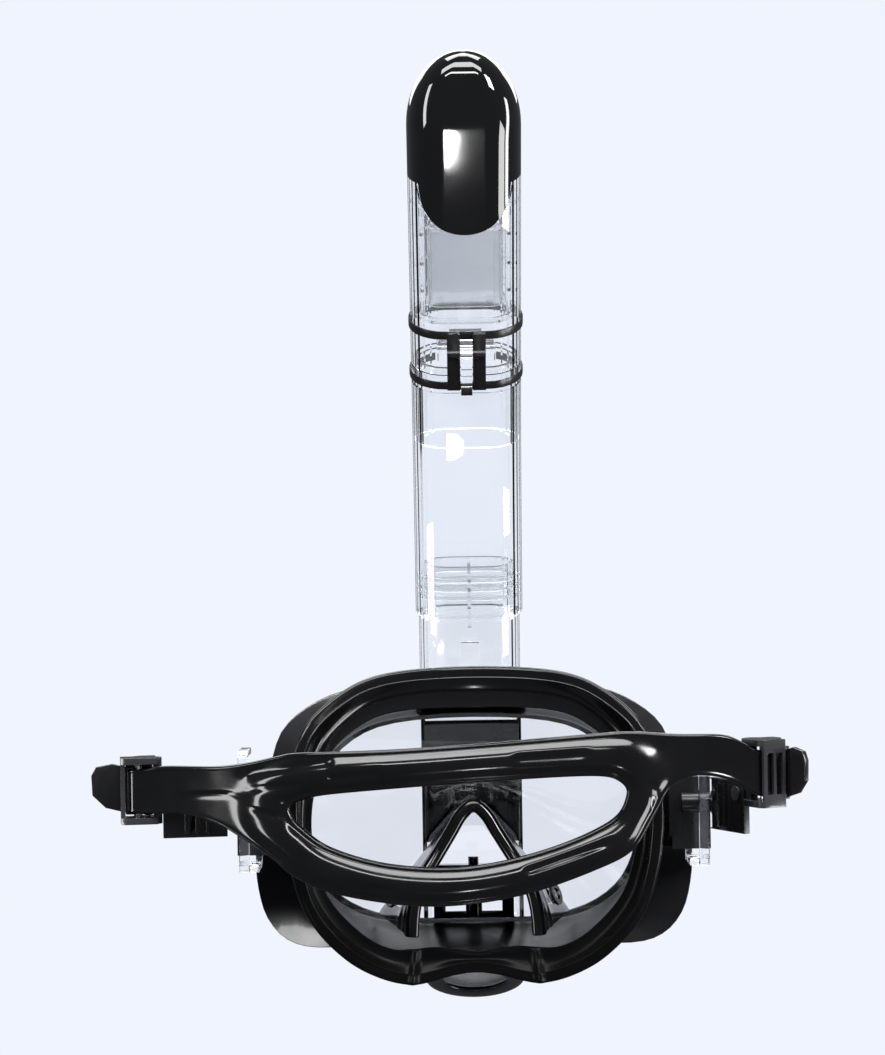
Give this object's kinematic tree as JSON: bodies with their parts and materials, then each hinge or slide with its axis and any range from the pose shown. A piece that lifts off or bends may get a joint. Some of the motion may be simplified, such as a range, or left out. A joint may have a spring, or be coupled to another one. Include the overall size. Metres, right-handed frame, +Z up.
{
  "type": "snorkel mask",
  "caption": "Snorkelling mask with a curved clear lens, soft face skirt, split head strap and a central clear snorkel tube that ends in a folding dry top.",
  "frame": {"origin": "centre of the face seal, where the wearer's face meets the skirt", "axes": "+Z up along the tube, +X across the face, the lens faces -Y and the wearer is on the +Y side"},
  "size_m": [0.3316, 0.1521, 0.4526],
  "materials": {
    "clear_plastic": "gloss",
    "smoky_plastic": "gloss",
    "buckle_plastic": "gloss",
    "silicone": "gloss",
    "black_gloss": "gloss",
    "black_satin": "satin",
    "milky_silicone": "satin",
    "steel": "polished"
  },
  "bodies": {
    "mask": {"lens": "clear_plastic", "frame": "smoky_plastic", "skirt": "silicone", "nose_cup": "silicone", "duct_back": "black_gloss", "duct_cover": "clear_plastic", "exhale_channel": "black_gloss", "purge_body": "black_gloss", "purge_seat": "black_gloss", "inhale_seat_left": "black_satin", "inhale_seat_right": "black_satin", "tube_port": "clear_plastic", "port_divider": "clear_plastic", "port_seal": "milky_silicone", "side_block_left": "black_satin", "side_block_right": "black_satin", "side_clip_left": "clear_plastic", "side_clip_right": "clear_plastic", "pivot_pin_left": "steel", "pivot_pin_right": "steel"},
    "purge_flap": {"purge_valve": "milky_silicone"},
    "inhale_flap_left": {"inhale_valve_left": "milky_silicone"},
    "inhale_flap_right": {"inhale_valve_right": "milky_silicone"},
    "catch": {"port_catch": "clear_plastic"},
    "tube": {"lower_tube": "clear_plastic", "hinge_socket": "clear_plastic", "ring_lower": "black_satin", "fold_pin": "steel"},
    "dry_top": {"upper_collar": "clear_plastic", "ring_upper": "black_satin", "dry_housing": "clear_plastic", "float_cage": "clear_plastic", "dry_seat": "clear_plastic", "cap": "black_gloss", "latch_pin": "steel"},
    "latch_lever": {"latch": "clear_plastic", "latch_tip": "black_satin"},
    "float_carriage": {"float": "clear_plastic", "float_pad": "milky_silicone"},
    "strap_assembly": {"strap": "silicone", "arm_left": "black_satin", "arm_right": "black_satin", "buckle_frame_left": "buckle_plastic", "buckle_frame_right": "buckle_plastic", "roller_left": "steel", "roller_right": "steel", "lever_pin_left": "steel", "lever_pin_right": "steel"},
    "lever_body_left": {"lever_left": "black_satin"},
    "lever_body_right": {"lever_right": "black_satin"}
  },
  "joints": [
    {"name": "tube_pull", "type": "slide", "parent": "mask", "child": "tube", "axis": [0, 0.2079, 0.9781], "range_m": [0, 0.03]},
    {"name": "catch_press", "type": "slide", "parent": "mask", "child": "catch", "axis": [0, -0.9781, 0.2079], "range_m": [0, 0.0015], "stiffness_N_per_m": 300},
    {"name": "top_fold", "type": "hinge", "parent": "tube", "child": "dry_top", "pos_m": [0, -0.05921, 0.23486], "axis": [1, 0, 0], "range_deg": [0, 100]},
    {"name": "latch_open", "type": "hinge", "parent": "dry_top", "child": "latch_lever", "pos_m": [0, -0.01757, 0.22537], "axis": [1, 0, 0], "range_deg": [0, 25], "stiffness_Nm_per_rad": 0.02, "springref_deg": -5.73},
    {"name": "float_lift", "type": "slide", "parent": "dry_top", "child": "float_carriage", "axis": [0, 0.5, 0.866], "range_m": [0, 0.008]},
    {"name": "strap_swing", "type": "hinge", "parent": "mask", "child": "strap_assembly", "pos_m": [0, -0.012, 0.012], "axis": [1, 0, 0], "range_deg": [-18, 18]},
    {"name": "lever_open_left", "type": "hinge", "parent": "strap_assembly", "child": "lever_body_left", "pos_m": [0.15348, -0.01286, 0.0225], "axis": [0, 0, -1], "range_deg": [0, 25], "stiffness_Nm_per_rad": 0.05, "springref_deg": -5.73},
    {"name": "lever_open_right", "type": "hinge", "parent": "strap_assembly", "child": "lever_body_right", "pos_m": [-0.13789, 0.01818, 0.029], "axis": [0, 0, 1], "range_deg": [0, 25], "stiffness_Nm_per_rad": 0.05, "springref_deg": -5.73},
    {"name": "purge_flap_open", "type": "slide", "parent": "mask", "child": "purge_flap", "axis": [0, 0.5195, -0.8545], "range_m": [0, 0.0012], "stiffness_N_per_m": 60, "springref_m": -0.0004},
    {"name": "inhale_flap_open_left", "type": "slide", "parent": "mask", "child": "inhale_flap_left", "axis": [-0.8585, -0.3822, -0.342], "range_m": [0, 0.0008], "stiffness_N_per_m": 20, "springref_m": -0.0003},
    {"name": "inhale_flap_open_right", "type": "slide", "parent": "mask", "child": "inhale_flap_right", "axis": [0.8585, -0.3822, -0.342], "range_m": [0, 0.0008], "stiffness_N_per_m": 20, "springref_m": -0.0003}
  ]
}
